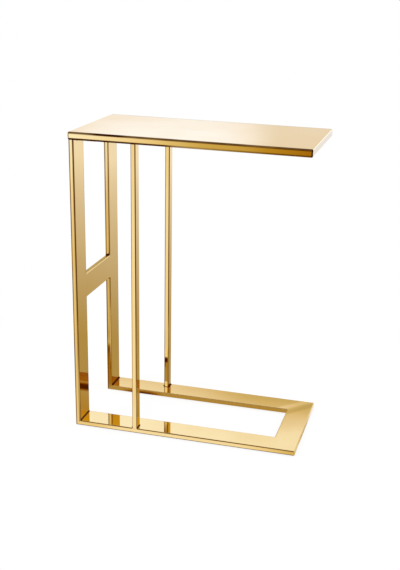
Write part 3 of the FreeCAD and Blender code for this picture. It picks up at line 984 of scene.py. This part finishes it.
FRONT_TONES = (
    (0.0, (0.02, 0.003, 0.0)),
    (0.12, (0.11, 0.02, 0.001)),
    (0.41, (0.41, 0.2, 0.01)),
    (0.55, (0.55, 0.34, 0.04)),
    (0.72, (0.72, 0.58, 0.26)),
    (0.88, (0.88, 0.77, 0.54)),
    (1.0, (1.0, 0.93, 0.86)),
    (1.25, (1.12, 1.24, 1.6)),
)
CORNER_TONES = (
    (0.0, (0.02, 0.003, 0.0)),
    (0.33, (0.33, 0.12, 0.005)),
    (0.5, (0.5, 0.3, 0.04)),
    (0.7, (0.7, 0.49, 0.04)),
    (1.25, (1.1, 0.95, 0.5)),
)
BRIGHTEST = 1.25

# Softboxes in degrees: direction round from the back, half width and its blur, lowest and highest angle
# and their blur, then the light added to the wall.
SOFTBOXES = (
    (-13.0, 28.0, 4.0, -6.0, 13.5, 2.5, 0.36),
    (-17.9, 4.0, 3.0, 9.0, 13.5, 1.6, 0.31),
    (9.0, 5.0, 3.0, -6.0, 13.5, 2.5, 0.5),
    (20.0, 12.0, 4.0, -4.0, 22.3, 0.8, 0.6),
    (-34.0, 18.5, 5.0, 24.1, 42.0, 3.0, 0.62),
    (-2.0, 12.0, 5.0, 26.3, 42.0, 2.0, 0.56),
    (25.0, 17.0, 6.0, 27.4, 42.0, 2.5, 0.62),
    (-160.0, 16.0, 5.0, 20.0, 27.5, 0.5, 0.95),
    (-85.0, 24.0, 5.0, 4.0, 20.0, 3.0, 0.45),
    (135.0, 18.0, 5.0, 2.0, 20.0, 3.0, 0.45),
    (78.0, 14.0, 5.0, 2.0, 20.0, 3.0, 0.4),
)

# The rest of the room. Pairs of angles are in degrees, levels are of light, and other pairs and blurs are
# parts of a direction of length one. First where the walls turn into the ceiling, then a dim shelf round the
# sides and the front.
CEILING_START = (0.62, 0.82)
SHELF_SIDES = (48.0, 62.0)
SHELF_HEIGHTS = (24.0, 31.0)
SHELF_BLUR = 0.03
SHELF_LEVEL = 0.3
# A flag that takes some light off a strip of the ceiling and of the front wall, with a gap at one height.
FLAG_SIDES = (-0.45, -0.08, 0.04)
FLAG_CEILING = (0.6, 0.75)
FLAG_OVERHEAD = (0.3, 0.2)
FLAG_FRONT = (-0.1, -0.3)
FLAG_SHADE = 0.3
FLAG_GAP = (20.0, 29.0)
FLAG_GAP_BLUR = 0.02
# The warm corner: its direction round from the back, how far off that it starts and is full, its lowest and
# highest angle and their blur, and the angles over which its light rises.
CORNER_WAY = 27.0
CORNER_SIDES = (24.0, 12.0)
CORNER_HEIGHTS = (23.4, 38.0)
CORNER_BLUR = 0.008
CORNER_RISE = (24.0, 27.0)
CORNER_LEVELS = (0.3, 0.7)

# The floor as the metal mirrors it, in metres, degrees to the left of straight ahead and levels of light.
# Three numbers are a band with its blur. In front the light sweeps from dim at the right to bright at the
# left, with a dip in it and a dark end.
SWEEP_ANGLES = (-3.0, 26.0)
SWEEP_LEVELS = (0.12, 1.18)
SWEEP_DIP = (13.0, 17.0, 2.5)
SWEEP_DIP_DEPTH = 0.08
SWEEP_END = (54.0, 70.0, 8.0)
DARKEST = 0.1
# Nearer to the table it is held down past a line that starts at the front rail and slants to the left.
SLANT_START = 0.115
SLANT = -0.36
SLANT_FALL = (-0.13, -0.2)
SLANT_LEVELS = (1.03, 0.87)
NEAR_TO_FAR = (-1.1, -2.9)
# Right in front of the table it falls off towards both ends instead.
RIGHT_FALL = (0.1, 0.3)
RIGHT_LEVELS = (1.06, 0.6)
LEFT_FALL = (-0.13, -0.2)
LEFT_LEVELS = (1.06, 0.92)
BESIDE_TO_SWEEP = (-0.16, -0.4)
# To the left it is dimmer past a line from the front left foot, and dark in a corner further round that foot.
LEFT_FOOT = (-0.23, -0.1)
FOOT_LINE = (23.5, 26.5)
FOOT_LINE_LEVELS = (1.0, 0.88)
LEFT_CORNER = (47.0, 72.0, 8.0)
LEFT_CORNER_START = (-0.34, -0.42)

# Behind the front rail the floor is dim, and brighter with the distance. Close to the table are dim patches
# past the open end and past the uprights, each with where it starts, where it ends and its depth, and a faint
# one that starts at the uprights.
BEHIND_RISE = (0.35, 2.5)
BEHIND_LEVELS = (0.47, 0.97)
CLOSE_BEHIND = (0.2, 0.5)
SIDE_PATCHES = (((0.3, 0.4), (0.8, 1.4), 0.85), ((-0.29, -0.33), (-0.5, -0.9), 0.7))
PAST_UPRIGHTS = (-0.23, -0.245)
PAST_UPRIGHTS_DEPTH = 0.12
# Shade along the inner side of the front rail. Its reach changes at two slanting lines, so that the back rod
# mirrors more of it by way of the rail than straight from the floor.
FRONT_SHADE_SIDES = (-0.235, -0.115, 0.025)
FRONT_SHADE_DEPTH = 0.9
FRONT_SHADE_SLANT = 0.328
FRONT_SHADE_CHANGES = ((-0.168, -0.162), (-0.1385, -0.1335))
FRONT_SHADE_REACHES = ((-0.043, -0.057), (-0.03, -0.043), (-0.06, -0.067))
# Shade along the inner side of the back rail, then the lit patches past the open end and far to the left.
BACK_SHADE_SIDES = (-0.185, -0.12, 0.02)
BACK_SHADE_REACH = (0.05, 0.075, 0.01)
BACK_SHADE_DEPTH = 0.85
END_PATCH = (0.226, 0.29, 0.004)
END_PATCH_RISE = (0.02, 0.09)
END_PATCH_LEVELS = (0.6, 0.95)
LEFT_PATCH = (-0.45, -0.9)
LEFT_PATCH_LEVEL = 0.8

# Where the front gives way to the part behind, which lies further forward to the left of the table.
FRONT_TO_BEHIND = (-0.115, -0.065)
FORWARD_STEP = (-0.25, -0.28)
FORWARD_STEP_LENGTH = 0.09
# Painted contact shadows: dark rims under the outer sides of the front rail and the end rail.
FRONT_RIM = (-0.119, -0.108, 0.003)
END_RIM = (0.2225, 0.2245)
END_RIM_ENDS = (0.119, 0.113)
RIM_SPAN = (-0.233, 0.2293, 0.0006)
# Where the tones of the front give way to those of the back, later past the uprights, and the far floor.
FRONT_TO_BACK_TONES = (-0.12, 0.12)
WARM_REACH = 0.12
FAR_FLOOR = (2.75, 3.1)
FAR_FLOOR_TONE = (0.89, 0.93, 1.12, 1.0)

# The floor as the camera sees it: sides of the disc, paper that takes the shadow, and where that fades.
FLOOR_SIDES = 96
FLOOR_PAPER = (0.9, 0.9, 0.9, 1.0)
SHADOW_START = 0.35

# Soft lamps: name, place, width, power in watts.
LAMPS = (
    ("key_lamp", (-1.6, -1.3, 2.1), 1.4, 34.0),
    ("fill_lamp", (1.7, 0.4, 1.9), 1.6, 22.0),
)
LAMP_AIM = (0.0, 0.0, 0.25)
CAMERA_CLIP = (0.05, 100.0)


def sine(degrees):
    """Sine of an angle in degrees."""
    return math.sin(math.radians(degrees))


def cosine(degrees):
    """Cosine of an angle in degrees."""
    return math.cos(math.radians(degrees))


def each(function, values):
    """A function's result for each of some values."""
    return tuple(map(function, values))


def studio_tone(tree, level, tones):
    """The colour that goes with a level of light."""
    ramp = tree.nodes.new("ShaderNodeValToRGB")
    stops = ramp.color_ramp.elements
    while len(stops) < len(tones):
        stops.new(0.5)
    for stop, (place, colour) in zip(stops, tones):
        stop.position = place / BRIGHTEST
        stop.color = opaque(colour)
    tree.links.new(calculate(tree, "DIVIDE", level, BRIGHTEST, clamp=True), ramp.inputs["Fac"])
    return ramp.outputs["Color"]


def by_ray(tree, to_camera, in_mirrors, elsewhere):
    """One shader for the camera, one for what is polished and one for all other light."""
    path = tree.nodes.new("ShaderNodeLightPath").outputs
    unseen = mix_shaders(tree, path["Is Glossy Ray"], elsewhere, in_mirrors)
    return mix_shaders(tree, path["Is Camera Ray"], unseen, to_camera)


def facing(tree, heading, degrees):
    """How squarely a heading points to a direction round from the back."""
    centre = (sine(degrees), cosine(degrees), 0.0)
    made = add_node(tree, "ShaderNodeVectorMath", {0: heading, 1: centre}, operation="DOT_PRODUCT")
    return made.outputs["Value"]


def softbox(tree, heading, height, box):
    """Added light of one soft edged panel, by the direction that a reflection looks in."""
    middle, half, side_blur, low, high, blur, light = box
    sides = each(cosine, (half + side_blur, half - side_blur))
    across = remap(tree, facing(tree, heading, middle), sides, (0.0, light))
    rise = remap(tree, height, each(sine, (low - blur, low + blur)))
    fall = remap(tree, height, each(sine, (high - blur, high + blur)), (1.0, 0.0))
    return product(tree, across, rise, fall)


def mirrored_room(tree, direction):
    """Colour of the room as the metal mirrors it: softboxes on dim walls, a warm corner, a plain ceiling."""
    studio = bpy.context.scene.gold_table_studio
    right, back, height = axes_of(tree, direction)
    level_way = add_node(
        tree, "ShaderNodeVectorMath", {0: direction, 1: (1.0, 1.0, 0.0)}, operation="MULTIPLY"
    )
    heading = add_node(
        tree, "ShaderNodeVectorMath", {0: level_way.outputs["Vector"]}, operation="NORMALIZE"
    ).outputs["Vector"]

    light = remap(tree, height, CEILING_START, (studio.wall_level, studio.ceiling_level))
    off_back = remap(tree, facing(tree, heading, 0.0), each(cosine, SHELF_SIDES))
    shelf = product(tree, off_back, band(tree, height, *each(sine, SHELF_HEIGHTS), SHELF_BLUR))
    light = product(tree, light, fade(tree, shelf, SHELF_LEVEL))
    for box in SOFTBOXES:
        light = calculate(tree, "ADD", light, softbox(tree, heading, height, box))

    flag_overhead = product(
        tree, remap(tree, height, FLAG_CEILING), remap(tree, back, FLAG_OVERHEAD, (0.0, FLAG_SHADE))
    )
    gap = band(tree, height, *each(sine, FLAG_GAP), FLAG_GAP_BLUR)
    flag_front = product(tree, remap(tree, back, FLAG_FRONT, (0.0, FLAG_SHADE)), rest_of(tree, gap))
    flag = product(
        tree, band(tree, right, *FLAG_SIDES), calculate(tree, "MAXIMUM", flag_overhead, flag_front)
    )
    walls = studio_tone(tree, product(tree, light, rest_of(tree, flag)), WALL_TONES)

    at_corner = remap(tree, facing(tree, heading, CORNER_WAY), each(cosine, CORNER_SIDES))
    corner = product(tree, at_corner, band(tree, height, *each(sine, CORNER_HEIGHTS), CORNER_BLUR))
    corner_light = remap(tree, height, each(sine, CORNER_RISE), CORNER_LEVELS, smooth=False)
    return mix_colour(tree, corner, walls, studio_tone(tree, corner_light, CORNER_TONES))


def make_room():
    """A room that is white to the camera, even light for matt things, and lit in patches for the metal."""
    studio = bpy.context.scene.gold_table_studio
    world = bpy.data.worlds.new("studio_room")
    bpy.context.scene.world = world
    tree = empty_tree(world)
    direction = tree.nodes.new("ShaderNodeTexCoord").outputs["Generated"]
    white = add_node(tree, "ShaderNodeBackground", {"Color": WHITE})
    mirrored = add_node(tree, "ShaderNodeBackground", {"Color": mirrored_room(tree, direction)})
    even = add_node(tree, "ShaderNodeBackground", {"Color": WHITE, "Strength": studio.room_light})
    room = by_ray(tree, white, mirrored, even)
    output = tree.nodes.new("ShaderNodeOutputWorld")
    tree.links.new(room.outputs[0], output.inputs["Surface"])


def floor_in_front(tree, across, back):
    """Level of light on the floor in front of the table."""
    leftward = calculate(tree, "ARCTAN2", product(tree, across, -1.0), product(tree, back, -1.0))
    far = remap(tree, leftward, each(math.radians, SWEEP_ANGLES), SWEEP_LEVELS, smooth=False)
    dip = band(tree, leftward, *each(math.radians, SWEEP_DIP))
    far = calculate(tree, "SUBTRACT", far, product(tree, dip, SWEEP_DIP_DEPTH))
    slanted = product(tree, calculate(tree, "ADD", back, SLANT_START), SLANT)
    off_slant = calculate(tree, "ADD", across, slanted)
    near = calculate(tree, "MINIMUM", far, remap(tree, off_slant, SLANT_FALL, SLANT_LEVELS))
    sweep = choose(tree, remap(tree, back, NEAR_TO_FAR), near, far)
    end = band(tree, leftward, *each(math.radians, SWEEP_END))
    sweep = product(tree, sweep, fade(tree, end, DARKEST))
    at_right = remap(tree, across, RIGHT_FALL, RIGHT_LEVELS)
    at_left = remap(tree, across, LEFT_FALL, LEFT_LEVELS)
    beside = calculate(tree, "MINIMUM", at_right, at_left)
    return choose(tree, remap(tree, back, BESIDE_TO_SWEEP), beside, sweep)


def front_rail_shade(tree, across, back):
    """Share of light that is missing along the inner side of the front rail."""
    off_slant = calculate(tree, "SUBTRACT", across, product(tree, back, FRONT_SHADE_SLANT))
    shade, *others = [
        remap(tree, back, reach, (0.0, FRONT_SHADE_DEPTH)) for reach in FRONT_SHADE_REACHES
    ]
    for change, other in zip(FRONT_SHADE_CHANGES, others):
        shade = choose(tree, remap(tree, off_slant, change), shade, other)
    return product(tree, band(tree, across, *FRONT_SHADE_SIDES), shade)


def floor_behind(tree, across, back):
    """Level of light on the floor under and behind the table."""
    level = remap(tree, back, BEHIND_RISE, BEHIND_LEVELS, smooth=False)
    close = remap(tree, back, CLOSE_BEHIND, (1.0, 0.0))
    shades = [
        product(tree, close, remap(tree, across, start), remap(tree, across, end, (depth, 0.0)))
        for start, end, depth in SIDE_PATCHES
    ]
    shades.append(product(tree, close, remap(tree, across, PAST_UPRIGHTS, (0.0, PAST_UPRIGHTS_DEPTH))))
    shades.append(front_rail_shade(tree, across, back))
    by_back_rail = product(
        tree, band(tree, across, *BACK_SHADE_SIDES), band(tree, back, *BACK_SHADE_REACH)
    )
    shades.append(product(tree, by_back_rail, BACK_SHADE_DEPTH))
    for shade in shades:
        level = product(tree, level, rest_of(tree, shade))

    at_end = product(tree, close, band(tree, across, *END_PATCH))
    end_level = remap(tree, calculate(tree, "ABSOLUTE", back), END_PATCH_RISE, END_PATCH_LEVELS)
    level = choose(tree, at_end, level, end_level)
    at_left = product(tree, close, remap(tree, across, LEFT_PATCH))
    return choose(tree, at_left, level, LEFT_PATCH_LEVEL)


def rail_rims(tree, across, back):
    """One where the painted contact shadow lies under the outer sides of the front rail and the end rail."""
    beside_end = remap(tree, calculate(tree, "ABSOLUTE", back), END_RIM_ENDS)
    end = product(tree, remap(tree, across, END_RIM), beside_end)
    rims = calculate(tree, "MAXIMUM", band(tree, back, *FRONT_RIM), end)
    return product(tree, rims, band(tree, across, *RIM_SPAN))


def mirrored_floor(tree, place):
    """Colour of the floor as the metal mirrors it: lit in front and far behind, dim under the table."""
    across, back, _ = axes_of(tree, place)
    foot_left, foot_back = LEFT_FOOT
    round_foot = calculate(
        tree,
        "ARCTAN2",
        calculate(tree, "SUBTRACT", foot_left, across),
        calculate(tree, "SUBTRACT", foot_back, back),
    )
    past_line = remap(tree, round_foot, each(math.radians, FOOT_LINE), FOOT_LINE_LEVELS)
    in_front = product(tree, floor_in_front(tree, across, back), past_line)
    forward = remap(tree, across, FORWARD_STEP, (0.0, FORWARD_STEP_LENGTH))
    is_behind = remap(tree, calculate(tree, "ADD", back, forward), FRONT_TO_BEHIND)
    level = choose(tree, is_behind, in_front, floor_behind(tree, across, back))

    left_corner = product(
        tree,
        band(tree, round_foot, *each(math.radians, LEFT_CORNER)),
        remap(tree, across, LEFT_CORNER_START),
    )
    dark = calculate(tree, "MAXIMUM", rail_rims(tree, across, back), left_corner)
    level = product(tree, level, fade(tree, dark, DARKEST))

    warm = remap(tree, across, PAST_UPRIGHTS, (0.0, WARM_REACH))
    tone = mix_colour(
        tree,
        remap(tree, calculate(tree, "SUBTRACT", back, warm), FRONT_TO_BACK_TONES),
        studio_tone(tree, level, FRONT_TONES),
        studio_tone(tree, level, BACK_TONES),
    )
    return mix_colour(tree, remap(tree, back, FAR_FLOOR), tone, FAR_FLOOR_TONE)


def make_floor():
    """A round white floor that keeps the table's shadow and is clear from below."""
    studio = bpy.context.scene.gold_table_studio
    bpy.ops.mesh.primitive_circle_add(
        vertices=FLOOR_SIDES, radius=studio.floor_radius, fill_type="NGON", location=(0.0, 0.0, 0.0)
    )
    floor = bpy.context.object
    floor.name = "studio_floor"
    material = bpy.data.materials.new("studio_floor")
    tree = empty_tree(material)
    place = tree.nodes.new("ShaderNodeTexCoord").outputs["Object"]
    from_middle = add_node(tree, "ShaderNodeVectorMath", {0: place}, operation="LENGTH").outputs["Value"]
    shadow = remap(tree, from_middle, (SHADOW_START, studio.shadow_reach), (studio.shadow, 0.0))
    paper = add_node(tree, "ShaderNodeBsdfDiffuse", {"Color": FLOOR_PAPER})
    white = add_node(tree, "ShaderNodeEmission", {"Color": WHITE})
    mirrored = add_node(tree, "ShaderNodeEmission", {"Color": mirrored_floor(tree, place)})
    from_above = by_ray(tree, mix_shaders(tree, shadow, white, paper), mirrored, paper)
    clear = tree.nodes.new("ShaderNodeBsdfTransparent")
    below = tree.nodes.new("ShaderNodeNewGeometry").outputs["Backfacing"]
    output = tree.nodes.new("ShaderNodeOutputMaterial")
    sided = mix_shaders(tree, below, from_above, clear)
    tree.links.new(sided.outputs[0], output.inputs["Surface"])
    floor.data.materials.append(material)


def make_lamps():
    """Two large soft lamps, which the metal doesn't mirror."""
    for name, place, width, power in LAMPS:
        bpy.ops.object.light_add(type="AREA", location=place)
        lamp = bpy.context.object
        lamp.name = name
        lamp.data.shape = "DISK"
        lamp.data.size = width
        lamp.data.energy = power
        aim = Vector(LAMP_AIM) - Vector(place)
        lamp.rotation_euler = aim.to_track_quat("-Z", "Y").to_euler()
        lamp.visible_glossy = False
        lamp.visible_camera = False


def place_camera():
    """The camera of the photograph."""
    studio = bpy.context.scene.gold_table_studio
    bpy.ops.object.camera_add()
    camera = bpy.context.object
    camera.name = "photo_camera"
    camera.data.lens = studio.camera_lens
    camera.data.shift_x = studio.camera_shift
    camera.data.clip_start, camera.data.clip_end = CAMERA_CLIP
    turn = Matrix.Rotation(studio.camera_turn, 4, "Z")
    tilt = Matrix.Rotation(math.pi / 2 - studio.camera_tilt, 4, "X")
    roll = Matrix.Rotation(studio.camera_roll, 4, "Z")
    camera.matrix_world = Matrix.Translation(studio.camera_place) @ turn @ tilt @ roll
    bpy.context.scene.camera = camera


class GOLDTABLE_OT_stage(bpy.types.Operator):
    """Set up the white floor, the room that the metal mirrors, the soft lamps and the camera"""

    bl_idname = "gold_table.stage"
    bl_label = "Set Up Studio"

    def execute(self, context):
        bpy.ops.object.select_all(action="DESELECT")
        make_room()
        make_floor()
        make_lamps()
        place_camera()
        context.scene.view_settings.view_transform = "Standard"
        return {"FINISHED"}


PIECE_OPERATORS = (
    GOLDTABLE_OT_top,
    GOLDTABLE_OT_back_frame,
    GOLDTABLE_OT_base,
    GOLDTABLE_OT_rods,
    GOLDTABLE_OT_fixings,
    GOLDTABLE_OT_underside,
    GOLDTABLE_OT_welds,
    GOLDTABLE_OT_pads,
    GOLDTABLE_OT_stage,
)


class GOLDTABLE_PT_sidebar(bpy.types.Panel):
    """The table's pieces, finishes and studio in the sidebar"""

    bl_idname = "GOLDTABLE_PT_sidebar"
    bl_label = "Gold C Table"
    bl_space_type = "VIEW_3D"
    bl_region_type = "UI"
    bl_category = "Gold C Table"

    def draw(self, context):
        layout = self.layout
        for operator in PIECE_OPERATORS:
            layout.operator(operator.bl_idname)
        for settings in (context.scene.gold_table_finish, context.scene.gold_table_studio):
            column = layout.column()
            for name in settings.__annotations__:
                column.prop(settings, name)


CLASSES = (GoldTableFinish, GoldTableStudio, *PIECE_OPERATORS, GOLDTABLE_PT_sidebar)


def register():
    """Makes the settings, operators and panel known to Blender."""
    for made in CLASSES:
        bpy.utils.register_class(made)
    bpy.types.Scene.gold_table_finish = bpy.props.PointerProperty(type=GoldTableFinish)
    bpy.types.Scene.gold_table_studio = bpy.props.PointerProperty(type=GoldTableStudio)


def unregister():
    """Takes everything that register added out again."""
    del bpy.types.Scene.gold_table_studio
    del bpy.types.Scene.gold_table_finish
    for made in reversed(CLASSES):
        bpy.utils.unregister_class(made)


def main():
    """Registers the add-on, then finishes the pieces and sets up the studio in order."""
    register()
    bpy.ops.gold_table.top()
    bpy.ops.gold_table.back_frame()
    bpy.ops.gold_table.base()
    bpy.ops.gold_table.rods()
    bpy.ops.gold_table.fixings()
    bpy.ops.gold_table.underside()
    bpy.ops.gold_table.welds()
    bpy.ops.gold_table.pads()
    bpy.ops.gold_table.stage()


if __name__ == "__main__":
    main()
